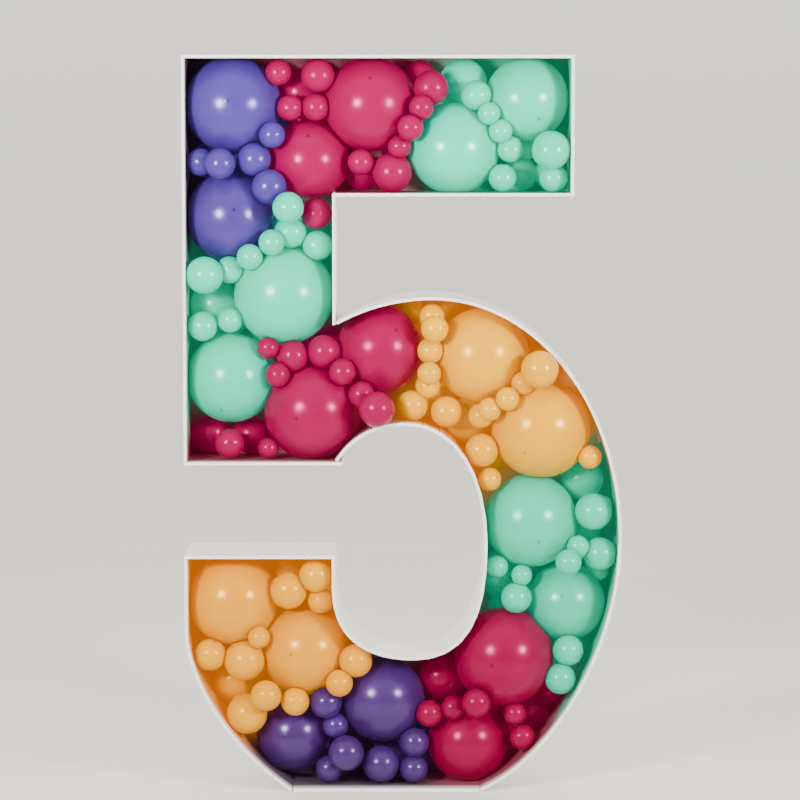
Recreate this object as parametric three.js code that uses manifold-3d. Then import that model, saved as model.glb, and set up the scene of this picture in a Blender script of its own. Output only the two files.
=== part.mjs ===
// A free-standing balloon mosaic: a large figure five made as an open tray of foam board and packed with
// balloons. Millimetres, +Z up. The front faces -Y. The origin is on the floor, in the middle of the figure's
// width and of the walls' depth.
import * as THREE from "three";
import { mergeVertices } from "three/addons/utils/BufferGeometryUtils.js";
import Module from "manifold-3d";

const wasm = await Module();
wasm.setup();

// Driving dimensions of the tray
const HEIGHT = 1220;
const HALF_WIDTH = 362;
const DEPTH = 150;
const BOARD = 5; // thickness of the foam board
const GAP = 0.3; // glue line between two pieces
const BAR_END_X = 280; // right end of the bar at the top
const BAR_UNDERSIDE_Z = 990;
const NOTCH_X = -111; // right face of the stem, between the bar and the bowl
const BOWL_X = 49; // middle of the bowl's ellipses
const BOWL_Z = 425;
const BOWL_RISE = 400;
const BOWL_RIGHT_SPAN = HALF_WIDTH - BOWL_X;
const BOWL_LEFT_SPAN = BOWL_RIGHT_SPAN + 50; // the bowl's top leans: its left part is the wider ellipse
const STEM_BOTTOM_Z = 547;
const STEM_BOTTOM_X = -101;
const TAIL_TOP_Z = 396;
const TAIL_RIGHT_X = -113;
const BASE_LEFT_X = -187;
const BASE_RIGHT_X = 130;

// Balloons and how they sit
const FRONT_Y = -DEPTH / 2;
const BACK_Y = DEPTH / 2;
const PANEL_Y = BACK_Y - BOARD; // front face of the back panel
const TOUCH = 0.4; // space left where a balloon meets a board or another balloon
const FRONT_LAYER_Y = -35; // depth that the small balloons of the front layer come nearest to
const SQUEEZE = 0.92; // share of their distance that balloons of one bunch are pressed to
const ROUNDING = 1e-6;
const LAYERS = ["large", "behind", "front"];
const FILL_RADII = [30, 25, 20, 17];
const FILL_FROM_Y = 8; // the balloons that fill the space behind have their middles behind this depth
const FILL_WALL_ROOM = 8;
const FILL_WAYS = [0, 35, 65, 90].flatMap((tilt) => around(THREE.MathUtils.degToRad(tilt), tilt ? 8 : 1));
const LARGE_FROM = 100; // diameter
const NECK_TILT = THREE.MathUtils.degToRad(50); // between a neck and straight back
const NECK_LENGTH = 9;
const NECK_RADIUS = 3;
const KNOT_RADIUS = 5;

const WHITE = material(0xdfdcd6, 0.75);
const LATEX = {
  purple: material(0x7a6cc4, 0.25),
  magenta: material(0xc8184e, 0.25),
  mint: material(0x6fd9b4, 0.25),
  apricot: material(0xffb868, 0.25),
};

// Ways back into the tray that lean sideways by an angle, spread evenly round.
function around(tilt, count) {
  return Array.from({ length: count }, (_, i) => {
    const turn = (2 * Math.PI * i) / count;
    const aside = Math.sin(tilt);
    return new THREE.Vector3(aside * Math.cos(turn), Math.cos(tilt), aside * Math.sin(turn));
  });
}

function material(color, roughness) {
  return new THREE.MeshStandardMaterial({ color, roughness, metalness: 0 });
}

// ---------------------------------------------------------------- outline

// Each edge of the figure is a run of points of its outer face. Going round from the top left corner, the
// inside of the tray is on the right hand.
const line = (...points) => points.map(([x, z]) => new THREE.Vector2(x, z));

const bend = (steps, ...points) =>
  new THREE.CubicBezierCurve(...line(...points)).getPoints(steps);

function bowlQuarter(halfWidth, from, to, steps) {
  const arc = new THREE.EllipseCurve(BOWL_X, BOWL_Z, halfWidth, BOWL_RISE, from, to, true);
  return arc.getPoints(steps);
}

const bowlStart = Math.acos((NOTCH_X - BOWL_X) / BOWL_LEFT_SPAN);
const bowlStartZ = BOWL_Z + BOWL_RISE * Math.sin(bowlStart);

const EDGES = {
  top_wall: line([-HALF_WIDTH, HEIGHT], [BAR_END_X, HEIGHT]),
  bar_end_wall: line([BAR_END_X, HEIGHT], [BAR_END_X, BAR_UNDERSIDE_Z]),
  bar_underside_wall: line([BAR_END_X, BAR_UNDERSIDE_Z], [NOTCH_X, BAR_UNDERSIDE_Z]),
  notch_wall: line([NOTCH_X, BAR_UNDERSIDE_Z], [NOTCH_X, bowlStartZ]),
  upper_bowl_wall: [
    ...bowlQuarter(BOWL_LEFT_SPAN, bowlStart, Math.PI / 2, 6),
    ...bowlQuarter(BOWL_RIGHT_SPAN, Math.PI / 2, 0, 14).slice(1),
  ],
  lower_bowl_wall: bend(12, [HALF_WIDTH, BOWL_Z], [HALF_WIDTH, 250], [260, 60], [BASE_RIGHT_X, 0]),
  base_wall: line([BASE_RIGHT_X, 0], [BASE_LEFT_X, 0]),
  tail_wall: [
    ...bend(10, [BASE_LEFT_X, 0], [-290, 70], [-HALF_WIDTH, 190], [-HALF_WIDTH, 270]),
    ...line([-HALF_WIDTH, TAIL_TOP_Z]),
  ],
  tail_top_wall: line([-HALF_WIDTH, TAIL_TOP_Z], [TAIL_RIGHT_X, TAIL_TOP_Z]),
  counter_wall: [
    ...line([TAIL_RIGHT_X, TAIL_TOP_Z]),
    ...bend(8, [TAIL_RIGHT_X, 340], [TAIL_RIGHT_X, 260], [-60, 226], [17, 226]),
    ...bend(8, [17, 226], [100, 226], [135, 290], [135, 413]).slice(1),
    ...bend(8, [135, 413], [135, 530], [85, 613], [2, 613]).slice(1),
    ...bend(5, [2, 613], [-45, 613], [-85, 590], [-108, 553]).slice(1),
  ],
  stem_bottom_wall: line([STEM_BOTTOM_X, STEM_BOTTOM_Z], [-HALF_WIDTH, STEM_BOTTOM_Z]),
  left_wall: line([-HALF_WIDTH, STEM_BOTTOM_Z], [-HALF_WIDTH, HEIGHT]),
};

// Where one wall butts against the face of another, its own end is cut back by that board and a glue line.
// A wall that runs past an inner corner is let on by a board instead. A slanting corner needs a shorter cut.
const BUTT = BOARD + GAP;
const SEAM = 2 * GAP;
const BASE_RIGHT_CUT = BOARD / 2;
const BASE_LEFT_CUT = BOARD - 1;
const END_CUTS = {
  bar_end_wall: [BUTT, 0],
  bar_underside_wall: [BUTT, GAP],
  notch_wall: [-BOARD, -BOARD],
  upper_bowl_wall: [SEAM, SEAM + GAP],
  base_wall: [BASE_RIGHT_CUT, BASE_LEFT_CUT],
  tail_wall: [0, BUTT],
  counter_wall: [BUTT, 0],
  left_wall: [BUTT, BUTT],
};

// A run of points with its first and last stretch shortened, or lengthened where the cut is negative.
function trimmed(points, [first, last]) {
  const run = points.map((p) => p.clone());
  const shorten = (end, next, cut) => end.addScaledVector(next.clone().sub(end).normalize(), cut);
  shorten(run[0], points[1], first);
  shorten(run.at(-1), points.at(-2), last);
  return run;
}

const rightOf = (a, b) => new THREE.Vector2(b.y - a.y, a.x - b.x).normalize();

// The same run moved to its right by a distance, so that the two runs are the faces of a board.
function moved(points, distance) {
  return points.map((p, i) => {
    const before = rightOf(points[Math.max(i - 1, 0)], points[Math.max(i, 1)]);
    const after = rightOf(points[Math.min(i, points.length - 2)], points[Math.min(i + 1, points.length - 1)]);
    const middle = before.clone().add(after).normalize();
    return p.clone().addScaledVector(middle, distance / middle.dot(before));
  });
}

// ---------------------------------------------------------------- boards

function board(name, outline, from, to) {
  const shape = new THREE.Shape(outline);
  const geometry = new THREE.ExtrudeGeometry(shape, { depth: to - from, bevelEnabled: false });
  const mesh = new THREE.Mesh(geometry, WHITE);
  mesh.name = name;
  mesh.rotation.x = Math.PI / 2; // the outline stands upright and its thickness runs from back to front
  mesh.position.y = to;
  return mesh;
}

function tray() {
  const group = new THREE.Group();
  const whole = Object.values(EDGES).flatMap((run, i, all) => {
    const next = all[(i + 1) % all.length][0];
    return run.at(-1).distanceTo(next) < BOARD / 2 ? run.slice(0, -1) : run;
  });
  group.add(board("back_panel", whole, PANEL_Y, BACK_Y));
  for (const [name, run] of Object.entries(EDGES)) {
    const outer = trimmed(run, END_CUTS[name] ?? [0, 0]);
    const inner = moved(outer, BOARD);
    group.add(board(name, [...outer, ...inner.reverse()], FRONT_Y, PANEL_Y - GAP));
  }
  return group;
}

// ---------------------------------------------------------------- balloons

// Each balloon is [x, z, diameter], x and z being its middle as seen from the front. A bunch lists the
// balloons that lie behind the others apart from those in front.
const PATCHES = [
  {
    name: "purple_corner",
    colour: "purple",
    large: [[-282, 1139, 150], [-286, 955, 140]],
    bunches: [{
      behind: [[-258, 1047, 50], [-326, 1046, 58]],
      front: [[-334, 1045, 44], [-300, 1043, 50], [-245, 1050, 54], [-215, 1090, 42], [-220, 1005, 56]],
    }],
  },
  {
    name: "magenta_bar",
    colour: "magenta",
    large: [[-54, 1140, 146], [-156, 1047, 126]],
    bunches: [
      {
        behind: [[-170, 1160, 78]],
        front: [[-205, 1192, 42], [-140, 1187, 54], [-186, 1134, 42], [-144, 1135, 44]],
      },
      {
        behind: [[28, 1186, 52]],
        front: [[46, 1167, 56], [30, 1135, 40], [12, 1102, 42], [-6, 1071, 38], [-18, 1028, 64]],
      },
      { behind: [[-68, 1026, 58]], front: [[-70, 1045, 42]] },
      { front: [[-143, 960, 50]] },
    ],
  },
  {
    name: "mint_bar_end",
    colour: "mint",
    large: [[205, 1149, 130], [84, 1067, 142]],
    bunches: [
      {
        behind: [[100, 1175, 78]],
        front: [[120, 1155, 48], [141, 1125, 36], [160, 1096, 38], [177, 1066, 42]],
      },
      { behind: [[196, 1024, 56]], front: [[164, 1019, 44], [248, 1019, 46], [243, 1065, 62]] },
    ],
  },
  {
    name: "mint_stem",
    colour: "mint",
    large: [[-198, 825, 156], [-286, 686, 140]],
    bunches: [
      {
        behind: [[-160, 935, 56], [-208, 968, 44]],
        front: [
          [-188, 972, 50], [-186, 930, 52], [-216, 914, 42], [-252, 890, 42], [-286, 868, 44],
          [-328, 860, 60], [-141, 908, 48],
        ],
      },
      {
        behind: [[-315, 806, 80], [-290, 862, 46], [-232, 752, 40]],
        front: [[-332, 774, 48], [-286, 784, 40]],
      },
    ],
  },
  {
    name: "magenta_stem_foot",
    colour: "magenta",
    large: [[-150, 629, 152], [-38, 733, 138]],
    bunches: [
      {
        behind: [[-124, 746, 44], [-190, 722, 56], [-60, 650, 48]],
        front: [
          [-131, 732, 54], [-183, 725, 52], [-223, 739, 36], [-207, 695, 40], [-100, 700, 44],
          [-69, 662, 44], [-39, 634, 58],
        ],
      },
      { behind: [[-324, 588, 64], [-256, 586, 62]], front: [[-288, 579, 48], [-224, 571, 34]] },
    ],
  },
  {
    name: "apricot_bowl",
    colour: "apricot",
    large: [[131, 723, 148], [230, 602, 156]],
    bunches: [
      {
        behind: [[46, 770, 58], [46, 690, 52], [14, 646, 46]],
        front: [[48, 791, 40], [52, 772, 44], [45, 734, 42], [41, 675, 40], [43, 698, 38], [15, 636, 50]],
      },
      {
        behind: [[108, 612, 76], [160, 650, 40], [226, 706, 52]],
        front: [
          [72, 632, 50], [129, 625, 40], [143, 639, 38], [172, 657, 38], [198, 681, 38], [229, 713, 60],
        ],
      },
      { behind: [[148, 548, 54]], front: [[128, 566, 54], [144, 519, 38]] },
      { front: [[310, 557, 38]] },
    ],
  },
  {
    name: "mint_bowl",
    colour: "mint",
    large: [[214, 446, 146], [274, 306, 118]],
    bunches: [
      { behind: [[302, 512, 70]], front: [[317, 465, 60]] },
      { behind: [[305, 425, 56], [326, 366, 38]], front: [[329, 394, 54], [291, 408, 36], [274, 385, 42]] },
      { behind: [[162, 329, 44], [200, 356, 40]], front: [[154, 372, 36], [198, 358, 34], [189, 320, 50]] },
      { behind: [[280, 228, 50]], front: [[276, 231, 50], [263, 184, 50]] },
    ],
  },
  {
    name: "magenta_bowl_foot",
    colour: "magenta",
    large: [[170, 216, 156], [110, 68, 124]],
    bunches: [
      { behind: [[66, 174, 74], [150, 130, 40]], front: [[122, 148, 48], [84, 134, 40], [44, 124, 44]] },
      { behind: [[217, 116, 60]], front: [[187, 124, 38], [200, 84, 42]] },
    ],
  },
  {
    name: "purple_base",
    colour: "purple",
    large: [[-35, 142, 134], [-190, 71, 118]],
    bunches: [
      {
        behind: [[-112, 95, 44], [-90, 38, 56]],
        front: [[-129, 143, 52], [-113, 103, 42], [-124, 30, 44], [-95, 61, 58]],
      },
      { behind: [[-22, 42, 60], [30, 70, 50]], front: [[-37, 38, 60], [19, 75, 48], [18, 30, 46]] },
    ],
  },
  {
    name: "apricot_tail",
    colour: "apricot",
    large: [[-286, 311, 140], [-163, 225, 140]],
    bunches: [
      { behind: [[-190, 358, 56]], front: [[-191, 332, 60], [-144, 358, 54], [-136, 315, 42]] },
      {
        behind: [[-294, 160, 72], [-250, 212, 52], [-265, 95, 44]],
        front: [[-240, 256, 36], [-324, 223, 52], [-265, 214, 66], [-271, 116, 66]],
      },
      { behind: [[-225, 148, 52]], front: [[-228, 160, 50], [-180, 147, 46]] },
      { front: [[-106, 180, 44], [-79, 216, 54]] },
    ],
  },
];

// The inner face of every wall, stretch by stretch.
const stretches = Object.values(EDGES)
  .map((run) => moved(run, BOARD).map((p) => new THREE.Vector3(p.x, 0, p.y)))
  .flatMap((face) => face.slice(1).map((end, i) => new THREE.Line3(face[i], end)));

const middleOf = ({ x, y, z }) => new THREE.Vector3(x, y, z);

function distanceTo(line, point) {
  return line.closestPointToPoint(point, true, new THREE.Vector3()).distanceTo(point);
}

// Moves a balloon off every wall that it would cut into.
function keepInside(ball) {
  const middle = new THREE.Vector3(ball.x, 0, ball.z);
  const room = ball.radius + TOUCH;
  const nearest = new THREE.Vector3();
  for (const stretch of stretches) {
    stretch.closestPointToPoint(middle, true, nearest);
    const away = middle.clone().sub(nearest);
    if (away.length() < room) middle.addScaledVector(away.normalize(), room - middle.distanceTo(nearest));
  }
  ball.x = middle.x;
  ball.z = middle.z;
}

// The free depth nearest to the wanted one, for a balloon among those that are already in place.
function depthOf(ball, placed, wanted, deepest) {
  const blocked = placed.map((other) => {
    const reach = (ball.radius + other.radius) * (other.node === ball.node ? SQUEEZE : 1) + TOUCH;
    const across = (ball.x - other.x) ** 2 + (ball.z - other.z) ** 2;
    const half = Math.sqrt(Math.max(reach ** 2 - across, 0));
    return [other.y - half, other.y + half];
  });
  const free = (y) => y <= deepest && blocked.every(([near, far]) => y <= near || y >= far);
  const from = (y) => Math.abs(y - wanted);
  const choices = [wanted, ...blocked.flat()].filter(free).sort((a, b) => from(a) - from(b));
  return choices[0];
}

function balls(node, rows = []) {
  return rows.map(([x, z, diameter]) => ({ node, x, z, radius: diameter / 2 }));
}

// A large balloon's neck and knot as a line, slanting back and down from its middle.
function neckLine(ball) {
  const way = new THREE.Vector3(0, Math.cos(NECK_TILT), -Math.sin(NECK_TILT));
  return new THREE.Line3(middleOf(ball), middleOf(ball).addScaledVector(way, ball.radius + NECK_LENGTH));
}

// Each balloon of a bunch is tied to the nearest one before it.
function tieLines(members) {
  return members.slice(1).map((ball, i) => {
    const middle = middleOf(ball);
    const before = members.slice(0, i + 1).map(middleOf);
    const [nearest] = before.sort((a, b) => a.distanceTo(middle) - b.distanceTo(middle));
    return new THREE.Line3(middle, nearest);
  });
}

// Whether a balloon has room of its own: off the boards, the other balloons, and the lines of other nodes.
function isFree(ball, placed, lines) {
  const middle = middleOf(ball);
  const flat = new THREE.Vector3(ball.x, 0, ball.z);
  const share = (other) => (other.node === ball.node ? SQUEEZE - ROUNDING : 1);
  return (
    ball.y <= PANEL_Y - TOUCH - ball.radius &&
    stretches.every((stretch) => distanceTo(stretch, flat) >= ball.radius + TOUCH) &&
    placed.every((other) => {
      const room = (ball.radius + other.radius) * share(other) + (other.node === ball.node ? 0 : TOUCH);
      return middle.distanceTo(middleOf(other)) >= room;
    }) &&
    lines.every(({ line, radius, node }) => {
      return node === ball.node || distanceTo(line, middle) >= ball.radius + radius + TOUCH;
    })
  );
}

// Whether the way from one balloon to another stays on this side of every wall.
function sameSide(ball, other) {
  return [1, 2, 3].every((step) => {
    const between = middleOf(ball).lerp(middleOf(other), step / 4).setY(0);
    return stretches.every((stretch) => distanceTo(stretch, between) >= FILL_WALL_ROOM);
  });
}

// Balloons pushed in behind a bunch, largest first, wherever one fits against a balloon already there.
function fill(node, placed, lines) {
  const members = [...node.behind, ...node.front];
  const fillers = [];
  for (const radius of FILL_RADII) {
    for (const host of [...members, ...fillers]) {
      for (const way of FILL_WAYS) {
        const middle = middleOf(host).addScaledVector(way, (host.radius + radius) * SQUEEZE);
        const ball = { node: node.name, x: middle.x, y: middle.y, z: middle.z, radius };
        if (ball.y < FILL_FROM_Y || !isFree(ball, placed, lines) || !sameSide(host, ball)) continue;
        fillers.push(ball);
        placed.push(ball);
      }
    }
  }
  return fillers;
}

// Every node's balloons, with a depth for each: large ones first, then those behind, then those in front, and
// at last those that fill the space behind.
function packed() {
  const nodes = PATCHES.flatMap(({ name, colour, large, bunches }) => [
    ...large.map((row, i) => ({ name: `${name}_large_${i + 1}`, colour, rows: { large: [row] } })),
    ...bunches.map((rows, i) => ({ name: `${name}_bunch_${i + 1}`, colour, rows })),
  ]);
  for (const node of nodes)
    for (const layer of LAYERS) node[layer] = balls(node.name, node.rows[layer]);
  const placed = [];
  for (const layer of LAYERS) {
    for (const ball of nodes.flatMap((node) => node[layer])) {
      keepInside(ball);
      const onPanel = PANEL_Y - TOUCH - ball.radius;
      ball.y = depthOf(ball, placed, layer === "front" ? FRONT_LAYER_Y : onPanel, onPanel);
      placed.push(ball);
    }
  }
  const lines = nodes.flatMap(({ name, large, behind, front }) => [
    ...large.map((ball) => ({ line: neckLine(ball), radius: KNOT_RADIUS, node: name })),
    ...tieLines([...behind, ...front]).map((line) => ({ line, radius: NECK_RADIUS, node: name })),
  ]);
  for (const node of nodes) {
    if (node.large.length) continue;
    node.fillers = fill(node, placed, lines);
    const members = [...node.behind, ...node.front, ...node.fillers];
    lines.push(...tieLines(members).map((line) => ({ line, radius: NECK_RADIUS, node: node.name })));
  }
  return nodes;
}

// ---------------------------------------------------------------- solids

function solid(geometry) {
  geometry.deleteAttribute("normal");
  geometry.deleteAttribute("uv");
  const merged = mergeVertices(geometry, 1e-4);
  return new wasm.Manifold(
    new wasm.Mesh({
      numProp: 3,
      vertProperties: merged.attributes.position.array,
      triVerts: new Uint32Array(merged.index.array),
    }),
  );
}

function geometryOf(made) {
  const { vertProperties, triVerts } = made.getMesh();
  const geometry = new THREE.BufferGeometry();
  geometry.setAttribute("position", new THREE.BufferAttribute(vertProperties, 3));
  geometry.setIndex(new THREE.BufferAttribute(triVerts, 1));
  geometry.computeVertexNormals();
  return geometry;
}

// Poles to the front and back.
function sphere({ x, y, z, radius }) {
  const [around, along] = radius > LARGE_FROM / 2 ? [12, 8] : [8, 4];
  return solid(new THREE.SphereGeometry(radius, around, along).translate(x, y, z));
}

// A straight round piece of the given length from one point towards another.
function rod(from, to, radiusFrom, radiusTo) {
  const way = to.clone().sub(from);
  const geometry = new THREE.CylinderGeometry(radiusTo, radiusFrom, way.length(), 5);
  geometry.translate(0, way.length() / 2, 0);
  const up = new THREE.Vector3(0, 1, 0);
  geometry.applyQuaternion(new THREE.Quaternion().setFromUnitVectors(up, way.normalize()));
  return solid(geometry.translate(from.x, from.y, from.z));
}

// A large balloon's neck with the knot at its end.
function neckAndKnot(ball) {
  const line = neckLine(ball);
  const along = (distance) => line.at(distance / line.distance(), new THREE.Vector3());
  const end = line.distance();
  const neck = rod(along(ball.radius / 2), along(end - KNOT_RADIUS / 2), KNOT_RADIUS, NECK_RADIUS);
  return neck.add(rod(along(end - KNOT_RADIUS), along(end), KNOT_RADIUS, KNOT_RADIUS));
}

function bunch(members) {
  const ties = tieLines(members).map(({ start, end }) => rod(start, end, NECK_RADIUS, NECK_RADIUS));
  return [...members.map(sphere), ...ties].reduce((joined, next) => joined.add(next));
}

function balloons() {
  const group = new THREE.Group();
  for (const { name, colour, large, behind, front, fillers } of packed()) {
    const small = () => bunch([...behind, ...front, ...fillers]);
    const made = large.length ? sphere(large[0]).add(neckAndKnot(large[0])) : small();
    const mesh = new THREE.Mesh(geometryOf(made), LATEX[colour]);
    mesh.name = name;
    group.add(mesh);
  }
  return group;
}

const numeral = new THREE.Group();
numeral.add(tray(), balloons());

export default numeral;
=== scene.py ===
import math

import bmesh
import bpy
import numpy as np
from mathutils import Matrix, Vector


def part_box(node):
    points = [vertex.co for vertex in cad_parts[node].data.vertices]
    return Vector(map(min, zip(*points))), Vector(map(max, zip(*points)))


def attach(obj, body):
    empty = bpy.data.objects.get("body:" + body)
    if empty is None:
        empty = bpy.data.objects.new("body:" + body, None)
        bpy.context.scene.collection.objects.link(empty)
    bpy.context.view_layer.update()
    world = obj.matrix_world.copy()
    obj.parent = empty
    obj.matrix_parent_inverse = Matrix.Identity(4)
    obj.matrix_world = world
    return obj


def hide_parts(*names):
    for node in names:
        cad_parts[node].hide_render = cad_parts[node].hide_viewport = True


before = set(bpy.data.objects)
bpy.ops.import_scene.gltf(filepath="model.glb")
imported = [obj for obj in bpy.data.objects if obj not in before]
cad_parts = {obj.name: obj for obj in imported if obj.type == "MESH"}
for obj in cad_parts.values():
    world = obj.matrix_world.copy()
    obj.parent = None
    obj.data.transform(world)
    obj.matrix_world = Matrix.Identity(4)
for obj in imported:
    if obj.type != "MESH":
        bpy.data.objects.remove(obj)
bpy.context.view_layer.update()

# A figure five of white foam board packed with balloons. Metres, +Z up, the open front faces -Y.
# Every balloon's place and size is read from its CAD solid, and every board's outline from its own.

BODY = "root"
MM = 0.001

# Reading balls off the CAD's facets
DIGITS = 5  # of a metre, by which corners are told apart
FEWEST_NEIGHBOURS = 5  # of a corner that a sphere is fitted to
SURE_OF_BALL = 5  # corners that must agree
LARGEST_BALL = 100 * MM
ASTRAY = 0.02 * MM  # how far a corner may lie off its sphere
SAME_BALL = 1.5 * MM  # how close two middles must be to count as one
FACE_SIDEWAYS = 0.5  # the normal of a board's side has less Y than this
LEVEL = 0.1 * MM  # corners this close in depth are on one face

PANEL = "back_panel"
WALLS = [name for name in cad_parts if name.endswith("_wall")]
BALLOON_NODES = [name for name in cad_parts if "_large_" in name or "_bunch_" in name]
FRONT_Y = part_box(WALLS[0])[0][1]
PANEL_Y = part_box(PANEL)[0][1]
BACK_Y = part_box(PANEL)[1][1]
BOARD = BACK_Y - PANEL_Y
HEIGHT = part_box(PANEL)[1][2]

# Where a large balloon's crown shows, to the right of and above its middle, in its own radii
CROWNS = {
    "purple_corner_large_1": (-0.06, 0.09),
    "purple_corner_large_2": (0.12, 0.18),
    "magenta_bar_large_1": (0, 0.55),
    "magenta_bar_large_2": (0, 0.61),
    "mint_bar_end_large_1": (0.26, -0.48),
    "mint_stem_large_2": (-0.19, -0.66),
    "magenta_stem_foot_large_1": (-0.3, -0.05),
    "magenta_stem_foot_large_2": (0.36, 0.49),
    "apricot_bowl_large_2": (-0.35, -0.41),
    "mint_bowl_large_1": (0.14, -0.34),
    "mint_bowl_large_2": (-0.16, 0.28),
    "magenta_bowl_foot_large_1": (-0.28, -0.02),
    "purple_base_large_2": (-0.2, 0.14),
    "apricot_tail_large_2": (-0.31, 0.07),
}

CROWN_TURNED_AWAY = (72, 110)  # degrees from the front, for the others
CROWN_SIZE = 2.6 * MM  # of the nub
CROWN_RISE = 0.2 * MM
CROWN_DIP = 0.4  # of that rise, in a ring round the nub
CROWN_DIP_AT = 2  # nub sizes from its middle
CROWN_RINGS = [0.8, 1.6, 2.5, 3.6, 5.0, 7.0]  # the mesh's first rings, in millimetres from the crown
CROWN_COVER = 0.85  # how much of the nub's own colour shows on it
CROWN_SHADE = 0.35  # that colour beside the deep one

# A balloon's shape
LARGE = 50 * MM  # radius from which a balloon counts as a large one
SWELL_LARGE = 1.065  # a large balloon's size before its neighbours press it back, beside its CAD solid
SWELL_SMALL = 1.03
SWELL_OF = {"mint_bowl_large_2": 1.12, "apricot_tail_large_1": 1.08, "magenta_bowl_foot_large_2": 1.09}
SKIN = 0.1 * MM  # half the space that two pressed balloons keep
SKIN_TO_WALL = 0.4 * MM
ROLL = 0.05  # how roundly the latex turns into a pressed face, in radii
BARELY = 0.2 * MM  # balloons that would overlap by less don't press
ALIKE = 0.04  # balloons whose radii differ by less than this share meet in a flat face
GRAZING = 0.05  # cosine under which a ray counts as running along a face
AROUND_LARGE = 88  # facets round a large balloon
AROUND_SMALL = 40

# A balloon's colour
SHADE_BELOW = 0.8  # painted shade: how much darker the large balloons' colours are at the foot of the figure, where less light falls
SHADE_BELOW_SMALL = 0.65  # and the small ones'
UNEVEN = 0.2  # and from one balloon to the next
PATCHY = 0.05  # and from place to place on one
LATEX_PATCHES = 22  # noise scales, to the metre
LATEX_SMEARS = 60
LATEX_GRAIN = 350
LATEX_GRAIN_RISE = 0.06 * MM
LATEX_ROUGH = (0.22, 0.27)
LATEX_SPECULAR = 0.56
LATEX_SCATTER = 0.25
LATEX_SCATTER_DEPTH = 12 * MM

# Board
PAPER = 0.45 * MM  # paper face of the foam board
BEVEL = PAPER / 3  # at the paper's edge
CORE_SET_BACK = 0.3 * MM  # how far the cut foam lies behind the paper's edge
CORE_SIDES = {2, 3, 4}  # of both board profiles, the sides that are foam
CUT_DEPTH = 2.1 * MM  # a score in the face next to the balloons, where a bend shows its folds
CUT_DEPTH_EASED = CUT_DEPTH / 3  # and where it doesn't
CUT_OPEN = 0.8 * MM  # half the width of a score at a fold
CUT_SHUT = 0.2 * MM  # and on a gentle bend
CUT_APART = 0.01 * MM  # keeps the corners at the bottom of a score from meeting
FOLD_FROM = 10  # degrees between two facets from which a bend shows its folds
SCORED_FROM = 3  # degrees between two facets from which the board is scored
EASE_STEPS = 3  # points for each facet of a gentle bend
WALL_CORNER = 30  # degrees at which a wall's outline turns into its cut end
CUT_END_MOST = 3 * BOARD  # a wall's cut end is shorter than this, and its two faces are longer
PANEL_CORNER = 20  # degrees at which the panel's outline has a corner
SHARP_FROM = 20  # degrees between two faces that aren't shaded as one
PAPER_FIBRE = 900  # noise scales, to the metre
PAPER_CLOUDS = 6
PAPER_CLOUDS_BETWEEN = (0.35, 0.65)  # of the noise's values
PAPER_LIGHT = (236, 233, 228)  # screen colours, 0 to 255
PAPER_DARK = (229, 226, 220)
PAPER_RISE = 0.08 * MM
PAPER_ROUGH = (0.55, 0.68)
FOAM_CELLS = 900
FOAM_LIGHT = (240, 237, 230)
FOAM_DARK = (226, 220, 210)
FOAM_STRENGTH = 0.6
FOAM_RISE = 0.3 * MM
FOAM_ROUGH = 0.85

# Painted glow: emission that stands in for light coming through the thin skins
PAINTED_GLOW_FRONT = 0.12  # at the front of a balloon
PAINTED_GLOW_BEHIND = {"purple": 0.07, "magenta": 0.28, "mint": 0.15, "apricot": 0.16}  # more, deep in the tray
PAINTED_GLOW_BEHIND_OVER = 70 * MM  # how far behind the rim all of it is there
PAINTED_GLOW_IN_GAPS = {"purple": 0.1, "magenta": 0.26, "mint": 0.2, "apricot": 0.48}  # on the boards

# Painted bounce light and shade: the balloons' shaded colours painted on the inside of the tray
BOUNCE_SHADE_FROM = 3 * MM  # how far behind the rim it starts
BOUNCE_SHADE_OVER = 22 * MM  # and how far it takes to grow to its most
BOUNCE_SHADE_MOST = 0.94
BOUNCE_SHADE_REACH = 25 * MM  # how far from a balloon its colour fades
ON_CUT = 0.01 * MM  # a corner this close to a cut is on it
BOUNCE_SHADE_LEAST = 1e-9  # a balloon's share anywhere, so that the shares never add up to nothing
BOUNCE_SHADE_GRID = (30 * MM, 15 * MM, 30 * MM)  # the boards are cut to this grid, for the painted bounce and shade to follow
BOUNCE_SHADE_GRID_CLEAR = 2 * BOARD  # no cut is closer than this to a board's own end

# Stage
WORLD_COLOUR = (1, 0.972, 0.9, 1)
WORLD_BASE = 0.42
WORLD_BEHIND = 0.95  # more at the back, low down
WORLD_BEHIND_GROWS = (-0.5, 0.5)  # between these of a direction's Y
WORLD_BEHIND_FADES = (0.1, 0.45)  # and between these of its Z
WORLD_OVERHEAD = 1.64  # more overhead
SOFT_LIGHT = 0.62  # across
SOFT_LIGHT_POWER = 33
SOFT_LIGHT_SPREAD = 100  # degrees
SOFT_LIGHTS = {"left_soft_light": (-1.35, -2.1, 1.28), "right_soft_light": (2.0, -1.9, 1.28)}
LIT_SPOT = (0, 0, 1.05)
FLOOR = 80  # across
FLOOR_CLOUDS = 1.5
FLOOR_LIGHT = (238, 235, 229)
FLOOR_DARK = (234, 231, 225)
FLOOR_ROUGH = 0.6
SENSOR = 36  # millimetres, and so is the lens
LENS = 142.8
CAMERA_PLACE = (-0.005, -5.275, 1.156)
CAMERA_DOWN = 5.5  # degrees

NOISE_MIDDLE = (0.3, 0.7)  # most of a noise's values lie between these
GRAIN_STRENGTH = 0.5  # of the bumps in latex and paper

rng = np.random.default_rng(5)


# ---------------------------------------------------------------- reading the frame


def welded(node):
    """A CAD node's corners, each once, and for each one the others that an edge joins to it."""
    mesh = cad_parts[node].data
    corners = np.array([v.co[:] for v in mesh.vertices])
    points, index = np.unique(np.round(corners, DIGITS), axis=0, return_inverse=True)
    index = index.reshape(-1)
    joined = [set() for _ in points]
    for edge in mesh.edges:
        a, b = (int(index[v]) for v in edge.vertices)
        if a != b:
            joined[a].add(b)
            joined[b].add(a)
    return points, joined


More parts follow.
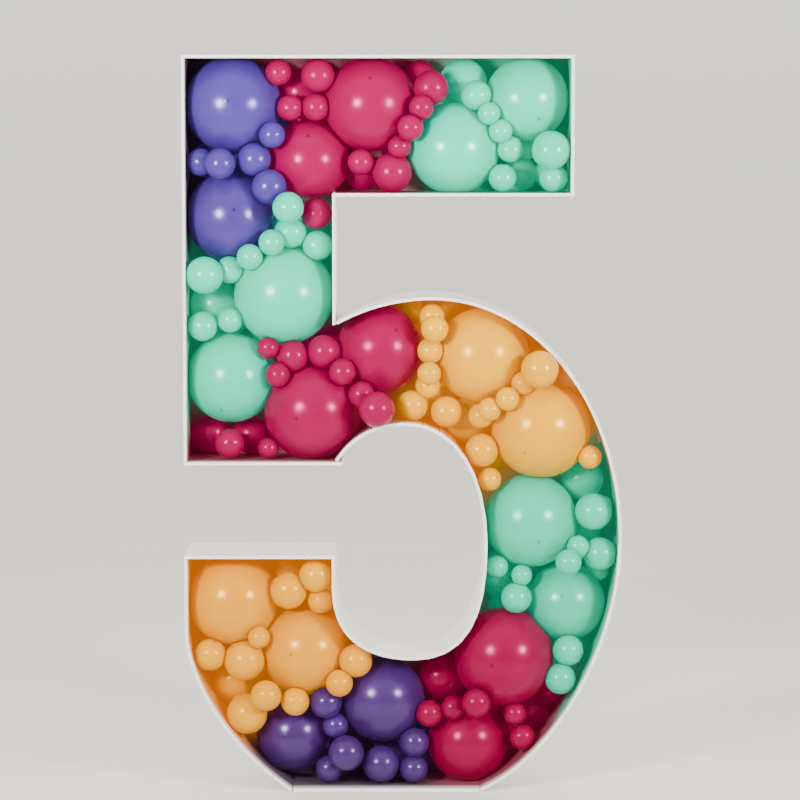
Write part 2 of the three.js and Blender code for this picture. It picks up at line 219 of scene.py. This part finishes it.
def balls_of(node):
    """Middle and radius of each ball in a node.

    A corner of a ball lies on one sphere with all its neighbours, and so do the ball's other corners.
    Corners where a neck or another ball cuts in lie on none.
    """
    points, joined = welded(node)
    fits = []
    for point, ring in zip(points, joined):
        if len(ring) < FEWEST_NEIGHBOURS:
            continue
        near = points[list(ring)] - point
        middle = np.linalg.lstsq(2 * near, (near**2).sum(axis=1), rcond=None)[0]
        radius = np.linalg.norm(middle)
        astray = np.abs(np.linalg.norm(near - middle, axis=1) - radius).max()
        if radius < LARGEST_BALL and astray < ASTRAY:
            fits.append((*(point + middle), radius))
    fits = np.array(fits)
    found = []
    while len(fits):
        same = np.linalg.norm(fits - fits[0], axis=1) < SAME_BALL
        if same.sum() >= SURE_OF_BALL:
            middle_and_radius = np.median(fits[same], axis=0)
            found.append((middle_and_radius[:3], middle_and_radius[3]))
        fits = fits[~same]
    return found


def outline_of(node):
    """The closed outline of a board, as (x, z) points in order, from the corners on its front face."""
    points, _ = welded(node)
    front = points[:, 1].min()
    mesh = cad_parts[node].data
    ahead = {}
    for face in mesh.polygons:
        if abs(face.normal.y) > FACE_SIDEWAYS:
            continue
        corners = [mesh.vertices[v].co for v in face.vertices]
        at_front = [(round(c.x, DIGITS), round(c.z, DIGITS)) for c in corners if c.y < front + LEVEL]
        if len(at_front) == 2:
            a, b = at_front
            turn = (b[0] - a[0]) * face.normal.z - (b[1] - a[1]) * face.normal.x
            a, b = (a, b) if turn > 0 else (b, a)
            ahead[a] = b
    start = next(iter(ahead))
    loop = [start]
    while ahead[loop[-1]] != start:
        loop.append(ahead[loop[-1]])
    return np.array(loop)


# ---------------------------------------------------------------- small tools


def link(name, mesh, node):
    """A new piece that stands for a CAD node, riding on the part's only body."""
    obj = bpy.data.objects.new(name, mesh)
    bpy.context.scene.collection.objects.link(obj)
    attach(obj, BODY)
    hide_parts(node)


def smooth_mesh(name, verts, faces):
    mesh = bpy.data.meshes.new(name)
    mesh.from_pydata([tuple(v) for v in verts], [], faces)
    mesh.validate()
    mesh.polygons.foreach_set("use_smooth", [True] * len(mesh.polygons))
    return mesh


def soft_min(a, b, width):
    """The smaller of a and b, with the corner where they cross rounded over a width."""
    near = np.clip(1 - np.abs(a - b) / width, 0, 1)
    return np.minimum(a, b) - near**2 * width / 4


def away_from(points, outline):
    """How far each (x, z) point lies from a closed outline."""
    along = np.roll(outline, -1, axis=0) - outline
    gap = points[:, None] - outline[None]
    share = np.clip((gap * along).sum(2) / (along**2).sum(1), 0, 1)
    return np.linalg.norm(gap - along * share[..., None], axis=2).min(axis=1)


# ---------------------------------------------------------------- balloons


def presses_of_boards(middle, radius, wall_outlines):
    """Direction and distance of the nearest face of each board that a balloon would cut into."""
    here = middle[[0, 2]]
    found = []
    for starts in wall_outlines:
        along = np.roll(starts, -1, axis=0) - starts
        share = np.clip(((here - starts) * along).sum(1) / (along**2).sum(1), 0, 1)
        nearest = starts + along * share[:, None]
        gaps = np.linalg.norm(nearest - here, axis=1)
        i = int(gaps.argmin())
        if gaps[i] < radius:
            way = (nearest[i] - here) / gaps[i]
            found.append((np.array([way[0], 0, way[1]]), gaps[i] - SKIN_TO_WALL))
    if PANEL_Y - middle[1] < radius:
        found.append((np.array([0.0, 1, 0]), PANEL_Y - middle[1] - SKIN))
    return found


def reach_flat(facing, gap):
    """How far rays go before they meet a flat face this far off, given the cosine of each to its normal."""
    return np.where(facing > GRAZING, gap / np.maximum(facing, GRAZING), np.inf)


def reach_along(rays, ball, other):
    """How far each ray from a pressed balloon's middle goes before it meets the face shared with another.

    The face is part of a sphere, as between two soap bubbles: the smaller balloon holds more pressure and
    bulges into the larger one.
    """
    middle, radius = ball
    other_middle, other_radius = other
    apart = np.linalg.norm(other_middle - middle)
    way = (other_middle - middle) / apart
    flat = (apart**2 + radius**2 - other_radius**2) / (2 * apart)
    facing = rays @ way
    difference = other_radius - radius
    if abs(difference) < ALIKE * radius:
        return reach_flat(facing, flat - SKIN)
    rim = math.sqrt(max(radius**2 - flat**2, 0))
    curve = radius * other_radius / abs(difference)
    inset = math.sqrt(max(curve**2 - rim**2, 0))
    if difference > 0:  # this one is the smaller, and the face bulges away from it
        centre = flat - inset
        along = facing * centre
        far = along + np.sqrt(np.maximum(along**2 + (curve - SKIN) ** 2 - centre**2, 0))
        return np.where(facing > 0, far, np.inf)
    centre = flat + inset
    along = facing * centre
    inside = along**2 + (curve + SKIN) ** 2 - centre**2
    near = along - np.sqrt(np.maximum(inside, 0))
    return np.where((inside > 0) & (facing > 0), near, np.inf)


def sphere_rays(crown, around, radius):
    """Rays from a balloon's middle in rings round its crown, closest near the crown, with their faces."""
    nub = np.array(CROWN_RINGS) * MM / radius
    rings = around // 2
    rest = np.linspace(nub[-1], math.pi, rings + 1)[1:-1]
    angles = np.concatenate([nub[nub < rest[0]], rest])
    side = crown.orthogonal().normalized()
    up = crown.cross(side)
    basis = np.array([side, up, crown])
    turn = np.arange(around) * 2 * math.pi / around
    ring = np.stack([np.cos(turn), np.sin(turn)], axis=1)
    rays = [basis[2]]
    for angle in angles:
        rays.extend(ring @ basis[:2] * math.sin(angle) + basis[2] * math.cos(angle))
    rays.append(-basis[2])
    last = 1 + len(angles) * around
    faces = [(0, 1 + i, 1 + (i + 1) % around) for i in range(around)]
    for k in range(len(angles) - 1):
        a, b = 1 + k * around, 1 + (k + 1) * around
        faces += [(a + i, b + i, b + (i + 1) % around, a + (i + 1) % around) for i in range(around)]
    a = last - around
    faces += [(a + i, last, a + (i + 1) % around) for i in range(around)]
    from_crown = np.concatenate([[0], np.repeat(angles, around), [math.pi]])
    return np.array(rays), faces, from_crown


def shell(ball, crown, others, wall_outlines):
    """One balloon's skin: a ball with a nub at its crown, pressed in by its neighbours and the boards.

    Gives the points, the faces, and how much each point belongs to the nub.
    """
    middle, radius = ball
    around = AROUND_LARGE if radius > LARGE else AROUND_SMALL
    rays, faces, angle = sphere_rays(Vector(crown), around, radius)
    reach = np.full(len(rays), radius)
    roll = ROLL * radius
    for other in others:
        apart = np.linalg.norm(other[0] - middle)
        if 0 < apart < radius + other[1] - BARELY:
            reach = soft_min(reach, reach_along(rays, ball, other), roll)
    for way, gap in presses_of_boards(middle, radius, wall_outlines):
        reach = soft_min(reach, reach_flat(rays @ way, gap), roll)
    arc = angle * radius / CROWN_SIZE
    nub = np.exp(-(arc**2))
    reach = reach + CROWN_RISE * (nub - CROWN_DIP * np.exp(-((arc - CROWN_DIP_AT) ** 2)))
    return middle + rays * reach[:, None], faces, nub


def crown_way(name):
    """The way a balloon's crown faces: as listed, or turned well away from the front."""
    if name in CROWNS:
        right, up = CROWNS[name]
        return np.array([right, -math.sqrt(1 - right**2 - up**2), up])
    tilt = math.radians(rng.uniform(*CROWN_TURNED_AWAY))
    turn = rng.uniform(0, 2 * math.pi)
    return np.array([math.sin(tilt) * math.cos(turn), -math.cos(tilt), math.sin(tilt) * math.sin(turn)])


def free_size(name, radius):
    """A balloon's radius before anything presses on it."""
    return radius * SWELL_OF.get(name, SWELL_LARGE if radius > LARGE else SWELL_SMALL)


def make_balloons():
    """Makes every balloon piece, and gives the balloons in it, each with its colour."""
    nodes = {name: [(m, free_size(name, r)) for m, r in balls_of(name)] for name in BALLOON_NODES}
    everything = [ball for name in BALLOON_NODES for ball in nodes[name]]
    wall_outlines = [outline_of(node) for node in WALLS]
    coloured = []
    for name in BALLOON_NODES:
        colour = name.split("_")[0]
        verts, faces, dark, painted_shade_and_tone, painted_glow = [], [], [], [], []
        for ball in nodes[name]:
            points, skin, nub = shell(ball, crown_way(name), everything, wall_outlines)
            base = sum(map(len, verts))
            faces += [tuple(v + base for v in face) for face in skin]
            verts.append(points)
            dark.append(nub)
            # painted shade: each balloon's colour is taken darker low on the figure, where less light
            # falls, and unevenly at random from one balloon to the next
            deep = SHADE_BELOW if ball[1] > LARGE else SHADE_BELOW_SMALL
            shade_below_and_uneven = deep * (1 - ball[0][2] / HEIGHT) + rng.uniform(0, UNEVEN)
            painted_shade_and_tone.append(np.full(len(points), shade_below_and_uneven))
            # painted glow: more emission the deeper the skin lies behind the rim
            behind = np.clip((points[:, 1] - FRONT_Y) / PAINTED_GLOW_BEHIND_OVER, 0, 1)
            painted_glow.append(PAINTED_GLOW_FRONT + behind * PAINTED_GLOW_BEHIND[colour])
            coloured.append((ball, colour))
        piece = f"balloons.{name}"
        mesh = smooth_mesh(piece, np.concatenate(verts), faces)
        for key, values in (("crown", dark), ("painted_shade_and_tone", painted_shade_and_tone), ("painted_glow", painted_glow)):
            mesh.attributes.new(key, "FLOAT", "POINT").data.foreach_set("value", np.concatenate(values))
        mesh.materials.append(LATEX[colour])
        link(piece, mesh, name)
    return coloured


# ---------------------------------------------------------------- materials


class Graph:
    """A material's nodes, made and joined in a few words."""

    def __init__(self, name):
        self.material = bpy.data.materials.new(name)
        self.material.use_nodes = True
        self.tree = self.material.node_tree
        self.shader = self.tree.nodes["Principled BSDF"]

    def node(self, kind, inputs=None, **settings):
        made = self.tree.nodes.new(kind)
        for key, value in settings.items():
            setattr(made, key, value)
        for key, value in (inputs or {}).items():
            self.put(made.inputs[key], value)
        return made

    def put(self, socket, value):
        if isinstance(value, bpy.types.NodeSocket):
            self.tree.links.new(value, socket)
        else:
            socket.default_value = value

    def noise(self, scale, detail, rough=0.55):
        place = self.node("ShaderNodeTexCoord")
        inputs = {"Vector": place.outputs["Object"], "Scale": scale, "Detail": detail, "Roughness": rough}
        return self.node("ShaderNodeTexNoise", inputs).outputs["Fac"]

    def ramp(self, value, low, high, to_low, to_high):
        inputs = {"Value": value, 1: low, 2: high, 3: to_low, 4: to_high}
        return self.node("ShaderNodeMapRange", inputs).outputs[0]

    def blend(self, share, a, b):
        mix = self.node("ShaderNodeMix", data_type="RGBA")
        self.put(mix.inputs[0], share)
        self.put(mix.inputs[6], a)
        self.put(mix.inputs[7], b)
        return mix.outputs[2]

    def attribute(self, name):
        return self.node("ShaderNodeAttribute", attribute_name=name).outputs["Fac"]

    def times(self, value, factor):
        return self.node("ShaderNodeMath", {0: value, 1: factor}, operation="MULTIPLY").outputs[0]

    def bump(self, height, distance, strength):
        inputs = {"Height": height, "Distance": distance, "Strength": strength}
        return self.node("ShaderNodeBump", inputs).outputs["Normal"]

    def surface(self, **values):
        """Sets the shader's sockets by name, with _ for a space."""
        for key, value in values.items():
            self.put(self.shader.inputs[key.replace("_", " ")], value)
        return self.material


def srgb(red, green, blue):
    """A shader colour from the three numbers that a screen shows, 0 to 255."""

    def linear(value):
        value /= 255
        return value / 12.92 if value <= 0.04045 else ((value + 0.055) / 1.055) ** 2.4

    return (linear(red), linear(green), linear(blue), 1)


def latex(name, lit, deep, scatter, sheen):
    """Balloon latex: glossy, a little see-through, thicker and darker at the crown, with painted shade low
    on the figure and a painted glow.
    """
    g = Graph(name)
    # painted shade: the latex goes from its lit colour to its shaded one low on the figure, with random
    # patches
    patchy = g.ramp(g.noise(LATEX_PATCHES, 2), *NOISE_MIDDLE, -PATCHY, PATCHY)
    shade = g.node("ShaderNodeMath", {0: patchy, 1: g.attribute("painted_shade_and_tone")}, operation="ADD", use_clamp=True)
    body = g.blend(shade.outputs[0], (*lit, 1), (*deep, 1))
    crown = tuple(CROWN_SHADE * c for c in deep)
    skin = g.blend(g.times(g.attribute("crown"), CROWN_COVER), body, (*crown, 1))
    return g.surface(
        Base_Color=skin,
        # painted glow: emission in the latex's own colour, standing in for light through the skin
        Emission_Color=skin,
        Emission_Strength=g.attribute("painted_glow"),
        Roughness=g.ramp(g.noise(LATEX_SMEARS, 4), *NOISE_MIDDLE, *LATEX_ROUGH),
        Specular_IOR_Level=LATEX_SPECULAR,
        Specular_Tint=(*sheen, 1),
        Subsurface_Weight=LATEX_SCATTER,
        Subsurface_Radius=scatter,
        Subsurface_Scale=LATEX_SCATTER_DEPTH,
        Normal=g.bump(g.noise(LATEX_GRAIN, 2), LATEX_GRAIN_RISE, GRAIN_STRENGTH),
    )


def paper_face():
    """White paper, with the balloons' shaded colours and a glow painted on it as bounce light and shade,
    where the painted bounce and shade says so.
    """
    g = Graph("foam_board_paper")
    fibre = g.noise(PAPER_FIBRE, 4, 0.6)
    clouds = g.ramp(g.noise(PAPER_CLOUDS, 2), *PAPER_CLOUDS_BETWEEN, 0, 1)
    paper = g.blend(clouds, srgb(*PAPER_LIGHT), srgb(*PAPER_DARK))
    painted_bounce_and_shade = g.node("ShaderNodeAttribute", attribute_name="painted_bounce_and_shade")
    bounce_and_shade_share = g.times(painted_bounce_and_shade.outputs["Alpha"], BOUNCE_SHADE_MOST)
    return g.surface(
        # painted bounce light and shade, and painted glow: deep in the tray the paper takes the balloons'
        # shaded colours and emission
        Base_Color=g.blend(bounce_and_shade_share, paper, painted_bounce_and_shade.outputs["Color"]),
        Emission_Color=painted_bounce_and_shade.outputs["Color"],
        Emission_Strength=g.attribute("painted_glow"),
        Roughness=g.ramp(fibre, *NOISE_MIDDLE, *PAPER_ROUGH),
        Normal=g.bump(fibre, PAPER_RISE, GRAIN_STRENGTH),
    )


def foam_edge():
    """The cut edge of the foam, with its cells."""
    g = Graph("foam_board_core")
    place = g.node("ShaderNodeTexCoord")
    cells = g.node("ShaderNodeTexVoronoi", {"Vector": place.outputs["Object"], "Scale": FOAM_CELLS})
    size = cells.outputs["Distance"]
    return g.surface(
        Base_Color=g.blend(g.ramp(size, 0, 0.7, 0, 1), srgb(*FOAM_LIGHT), srgb(*FOAM_DARK)),
        Roughness=FOAM_ROUGH,
        Normal=g.bump(size, FOAM_RISE, FOAM_STRENGTH),
    )


# Linear colours of the latex: lit, high up on the figure, and in painted shade low down; what scatters in
# it, and its reflections
LATEX_LIT = {
    "purple": (0.056, 0.035, 0.235),
    "magenta": (0.262, 0.0002, 0.056),
    "mint": (0.006, 0.55, 0.34),
    "apricot": (0.72, 0.37, 0.001),
}
LATEX_SHADED = {
    "purple": (0.034, 0.0025, 0.037),
    "magenta": (0.175, 0.0001, 0.024),
    "mint": (0.001, 0.36, 0.21),
    "apricot": (0.56, 0.19, 0.0005),
}
LATEX_SCATTERED = {
    "purple": (0.35, 0.3, 1.0),
    "magenta": (1.0, 0.15, 0.3),
    "mint": (0.3, 1.0, 0.7),
    "apricot": (1.0, 0.5, 0.2),
}
LATEX_SHEEN = {
    "purple": (0.65, 0.58, 1.0),
    "magenta": (1.0, 0.16, 0.38),
    "mint": (0.5, 1.0, 0.88),
    "apricot": (1.0, 0.76, 0.2),
}
LATEX = {
    key: latex(f"{key}_latex", lit, LATEX_SHADED[key], LATEX_SCATTERED[key], LATEX_SHEEN[key])
    for key, lit in LATEX_LIT.items()
}
BOARD_MATERIALS = [paper_face(), foam_edge()]


# ---------------------------------------------------------------- boards


def turns(run):
    """Angle that a run of points turns through at each of its inner points, in degrees."""
    along = np.diff(run, axis=0)
    heading = np.unwrap(np.arctan2(along[:, 1], along[:, 0]))
    return np.degrees(np.abs(np.diff(heading)))


def eased(run):
    """A run of points, with smooth curves where it bends gently and its folds kept where it doesn't.

    Gives the points, and for each one whether the board is scored there.
    """
    bends = turns(run)
    if not len(bends) or bends.max() > FOLD_FROM:
        return run, np.concatenate([[False], bends > SCORED_FROM, [False]])
    padded = np.vstack([2 * run[0] - run[1], run, 2 * run[-1] - run[-2]])
    points, scored = [], []
    for i in range(1, len(padded) - 2):
        a, b, c, d = padded[i - 1 : i + 3]
        squared = 2 * a - 5 * b + 4 * c - d
        cubed = 3 * b - a - 3 * c + d
        for k in range(EASE_STEPS):
            t = k / EASE_STEPS
            points.append(0.5 * (2 * b + (c - a) * t + squared * t**2 + cubed * t**3))
            scored.append(k == 0 and i > 1)
    return np.array(points + [run[-1]]), np.array(scored + [False])


def off(points, distance, closed=False):
    """A run of points moved to its right."""
    along = np.diff(points, axis=0, append=points[:1])
    if not closed:
        along[-1] = along[-2]
    along /= np.linalg.norm(along, axis=1)[:, None]
    before = np.roll(along, 1, axis=0)
    if not closed:
        before[0] = along[0]
    right = np.stack([along[:, 1], -along[:, 0]], axis=1)
    right_before = np.stack([before[:, 1], -before[:, 0]], axis=1)
    middle = right + right_before
    middle /= np.linalg.norm(middle, axis=1)[:, None]
    return points + middle * (distance / (middle * right).sum(1))[:, None]


def corner_runs(loop, angle):
    """A closed outline cut at its corners into runs that share their end points."""
    along = np.roll(loop, -1, axis=0) - loop
    heading = np.arctan2(along[:, 1], along[:, 0])
    turn = np.abs(np.angle(np.exp(1j * (heading - np.roll(heading, 1)))))
    corners = np.flatnonzero(np.degrees(turn) > angle)
    rolled = np.concatenate([loop, loop])
    ends = [*corners, corners[0] + len(loop)]
    return [rolled[a : b + 1] for a, b in zip(ends, ends[1:])]


def outer_run(loop, outline):
    """Of a wall's two long faces, the one that lies on the figure's outline."""

    def away(run):
        middle = run.mean(axis=0) if len(run) == 2 else run[len(run) // 2]
        return away_from(middle[None], outline)[0]

    faces = corner_runs(loop, WALL_CORNER)
    return min((run for run in faces if np.linalg.norm(run[-1] - run[0]) > CUT_END_MOST), key=away)


def spread_folds(points, scored, half):
    """Each scored point with one more on each side of it, so that a cut can have a knife cut's width."""
    made, deep = [], []
    for i, point in enumerate(points):
        if scored[i]:
            before, after = points[i - 1] - point, points[i + 1] - point
            before = before / np.linalg.norm(before)
            after = after / np.linalg.norm(after)
            made += [point + before * half, point, point + after * half]
            deep += [False, True, False]
        else:
            made.append(point)
            deep.append(False)
    return np.array(made), np.array(deep)


def wall_piece(node, outline, balloons):
    """A strip of foam board on edge: two papers, the foam set back between them, scored where it bends."""
    low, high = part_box(node)
    wide = high.y - low.y
    run, scored = eased(outer_run(outline_of(node), outline))
    folded = len(run) > 2 and turns(run).max() > FOLD_FROM
    half, depth = (CUT_OPEN, CUT_DEPTH) if folded else (CUT_SHUT, CUT_DEPTH_EASED)
    run, deep = spread_folds(run, scored, half)
    # across the board from the outer paper, and back from its front rim
    profile = [
        (0, BEVEL), (BEVEL, 0), (PAPER, 0), (PAPER, CORE_SET_BACK),
        (BOARD - PAPER, CORE_SET_BACK), (BOARD - PAPER, 0), (BOARD - BEVEL, 0), (BOARD, BEVEL),
        (BOARD, wide), (BOARD - PAPER, wide), (PAPER, wide), (0, wide),
    ]
    # the three faces of a cut end, by the profile's corners, each with its material's number
    cut_end = [((0, 1, 2, 3, 10, 11), 0), ((3, 4, 9, 10), 1), ((4, 5, 6, 7, 8, 9), 0)]
    columns = []
    for k, (across, behind) in enumerate(profile):
        place = off(run, across)
        cut = off(run, min(across, BOARD - depth + k * CUT_APART))
        place = np.where(deep[:, None], cut, place)
        columns.append(np.column_stack([place[:, 0], np.full(len(run), low.y + behind), place[:, 1]]))
    verts = np.stack(columns, axis=1).reshape(-1, 3)
    count = len(profile)
    faces, paint = [], []
    for i in range(len(run) - 1):
        a, b = i * count, (i + 1) * count
        for k in range(count):
            n = (k + 1) % count
            faces.append((a + k, b + k, b + n, a + n))
            paint.append(1 if k in CORE_SIDES else 0)
    for base, turned in ((0, False), ((len(run) - 1) * count, True)):
        for part, kind in cut_end:
            face = tuple(base + k for k in part)
            faces.append(face[::-1] if turned else face)
            paint.append(kind)
    finish_board(node, verts, faces, paint, outline, balloons)


def panel_piece(outline, balloons):
    """The back panel, with the same two papers and set-back foam round its edge."""
    runs = [eased(run)[0] for run in corner_runs(outline, PANEL_CORNER)]
    loop = np.concatenate([run[:-1] for run in runs])
    # inwards from the outline, and back from the panel's front
    profile = [
        (BEVEL, 0), (0, BEVEL), (0, PAPER), (CORE_SET_BACK, PAPER),
        (CORE_SET_BACK, BOARD - PAPER), (0, BOARD - PAPER), (0, BOARD - BEVEL), (BEVEL, BOARD),
    ]
    rings = []
    for inwards, behind in profile:
        place = off(loop, inwards, closed=True)
        rings.append(np.column_stack([place[:, 0], np.full(len(loop), PANEL_Y + behind), place[:, 1]]))
    verts = np.concatenate(rings)
    n = len(loop)
    faces, paint = [], []
    for k in range(len(profile) - 1):
        for i in range(n):
            j = (i + 1) % n
            faces.append((k * n + i, k * n + j, (k + 1) * n + j, (k + 1) * n + i))
            paint.append(1 if k in CORE_SIDES else 0)
    faces.append(tuple(range(n))[::-1])
    faces.append(tuple(range((len(profile) - 1) * n, len(profile) * n)))
    paint += [0, 0]
    finish_board(PANEL, verts, faces, paint, outline, balloons)


def paint_bounce_and_shade(mesh, outline, balloons):
    """Paints the nearest balloons' shaded colours and a glow on the inside of the tray, as painted bounce
    light and shade, less towards the rim.
    """
    at = np.array([v.co[:] for v in mesh.vertices])
    middles = np.array([ball[0] for ball, _ in balloons])
    radii = np.array([ball[1] for ball, _ in balloons])
    gap = np.maximum(np.linalg.norm(at[:, None] - middles[None], axis=2) - radii, 0)
    weight = np.exp(-((gap / BOUNCE_SHADE_REACH) ** 2)) + BOUNCE_SHADE_LEAST
    weight /= weight.sum(axis=1)[:, None]
    # painted shade and bounce light: the deeper behind the rim, the more of the balloons' shaded colours
    # and glow
    depth = np.clip((at[:, 1] - FRONT_Y - BOUNCE_SHADE_FROM) / BOUNCE_SHADE_OVER, 0, 1)
    painted_bounce_and_shade = np.column_stack([weight @ np.array([LATEX_SHADED[colour] for _, colour in balloons]), depth])
    painted_glow = depth * (weight @ np.array([PAINTED_GLOW_IN_GAPS[colour] for _, colour in balloons]))

    centres = np.array([face.center[:] for face in mesh.polygons])
    inside = (away_from(centres[:, [0, 2]], outline) > BOARD / 2) & (centres[:, 1] < PANEL_Y + PAPER)
    shows = np.repeat(inside, [face.loop_total for face in mesh.polygons])
    corner = [loop.vertex_index for loop in mesh.loops]
    painted_bounce_and_shade = painted_bounce_and_shade[corner]
    painted_bounce_and_shade[~shows, 3] = 0
    painted_glow = np.where(shows, painted_glow[corner], 0)
    mesh.attributes.new("painted_bounce_and_shade", "FLOAT_COLOR", "CORNER").data.foreach_set("color", painted_bounce_and_shade.reshape(-1))
    mesh.attributes.new("painted_glow", "FLOAT", "CORNER").data.foreach_set("value", painted_glow)


def finish_board(node, verts, faces, paint, outline, balloons):
    """Makes a board's mesh with its two materials, cuts it to the painted bounce's grid and paints the
    bounce light and shade on it.
    """
    mesh = smooth_mesh(f"board.{node}", verts, faces)
    for material in BOARD_MATERIALS:
        mesh.materials.append(material)
    mesh.polygons.foreach_set("material_index", paint)
    work = bmesh.new()
    work.from_mesh(mesh)
    bmesh.ops.recalc_face_normals(work, faces=work.faces)
    low, high = np.min(verts, axis=0), np.max(verts, axis=0)
    for axis, pitch in enumerate(BOUNCE_SHADE_GRID):
        for place in np.arange(math.ceil(low[axis] / pitch) * pitch, high[axis], pitch):
            if min(place - low[axis], high[axis] - place) < BOUNCE_SHADE_GRID_CLEAR:
                continue
            way = np.eye(3)[axis]
            everything = [*work.verts, *work.edges, *work.faces]
            bmesh.ops.bisect_plane(work, geom=everything, dist=ON_CUT, plane_co=way * place, plane_no=way)
    work.to_mesh(mesh)
    work.free()
    paint_bounce_and_shade(mesh, outline, balloons)
    mesh.set_sharp_from_angle(angle=math.radians(SHARP_FROM))
    link(f"board.{node}", mesh, node)


def make_boards(balloons):
    outline = outline_of(PANEL)
    panel_piece(outline, balloons)
    for node in WALLS:
        wall_piece(node, outline, balloons)


# ---------------------------------------------------------------- stage


def soft_light(name, place):
    lamp = bpy.data.lights.new(name, "AREA")
    lamp.shape = "DISK"
    lamp.size = SOFT_LIGHT
    lamp.spread = math.radians(SOFT_LIGHT_SPREAD)
    lamp.energy = SOFT_LIGHT_POWER
    obj = bpy.data.objects.new(name, lamp)
    obj.location = place
    obj.rotation_euler = (Vector(LIT_SPOT) - Vector(place)).to_track_quat("-Z", "Y").to_euler()
    bpy.context.scene.collection.objects.link(obj)


def make_floor():
    floor_mesh = bpy.data.meshes.new("floor")
    far = FLOOR / 2
    corners = [(-far, -far, 0), (far, -far, 0), (far, far, 0), (-far, far, 0)]
    floor_mesh.from_pydata(corners, [], [(0, 1, 2, 3)])
    floor = bpy.data.objects.new("floor", floor_mesh)
    g = Graph("floor_paint")
    clouds = g.ramp(g.noise(FLOOR_CLOUDS, 2), *NOISE_MIDDLE, 0, 1)
    pale = g.blend(clouds, srgb(*FLOOR_LIGHT), srgb(*FLOOR_DARK))
    floor_mesh.materials.append(g.surface(Base_Color=pale, Roughness=FLOOR_ROUGH))
    bpy.context.scene.collection.objects.link(floor)


def make_world():
    """A pale studio all round: brighter overhead, and low down behind the figure."""
    world = bpy.data.worlds.new("studio")
    world.use_nodes = True
    tree = world.node_tree
    background = tree.nodes["Background"]
    place = tree.nodes.new("ShaderNodeTexCoord")
    split = tree.nodes.new("ShaderNodeSeparateXYZ")
    tree.links.new(place.outputs["Generated"], split.inputs[0])

    def share(axis, start, end, low, high):
        made = tree.nodes.new("ShaderNodeMapRange")
        for key, value in (("From Min", start), ("From Max", end), ("To Min", low), ("To Max", high)):
            made.inputs[key].default_value = value
        tree.links.new(split.outputs[axis], made.inputs["Value"])
        return made.outputs[0]

    with_back = tree.nodes.new("ShaderNodeMath")
    with_back.operation = "MULTIPLY_ADD"
    tree.links.new(share("Y", *WORLD_BEHIND_GROWS, 0, 1), with_back.inputs[0])
    tree.links.new(share("Z", *WORLD_BEHIND_FADES, WORLD_BEHIND, 0), with_back.inputs[1])
    with_back.inputs[2].default_value = WORLD_BASE
    with_top = tree.nodes.new("ShaderNodeMath")
    with_top.operation = "ADD"
    tree.links.new(with_back.outputs[0], with_top.inputs[0])
    tree.links.new(share("Z", 0, 1, 0, WORLD_OVERHEAD), with_top.inputs[1])
    tree.links.new(with_top.outputs[0], background.inputs["Strength"])
    background.inputs["Color"].default_value = WORLD_COLOUR
    bpy.context.scene.world = world


def make_stage():
    make_floor()
    make_world()
    for name, place in SOFT_LIGHTS.items():
        soft_light(name, place)


def make_camera():
    data = bpy.data.cameras.new("camera")
    data.sensor_width = SENSOR
    data.lens = LENS
    camera = bpy.data.objects.new("camera", data)
    camera.location = CAMERA_PLACE
    camera.rotation_euler = (math.radians(90 - CAMERA_DOWN), 0, 0)
    bpy.context.scene.collection.objects.link(camera)
    bpy.context.scene.camera = camera


make_camera()
make_stage()
make_boards(make_balloons())

bpy.context.view_layer.update()
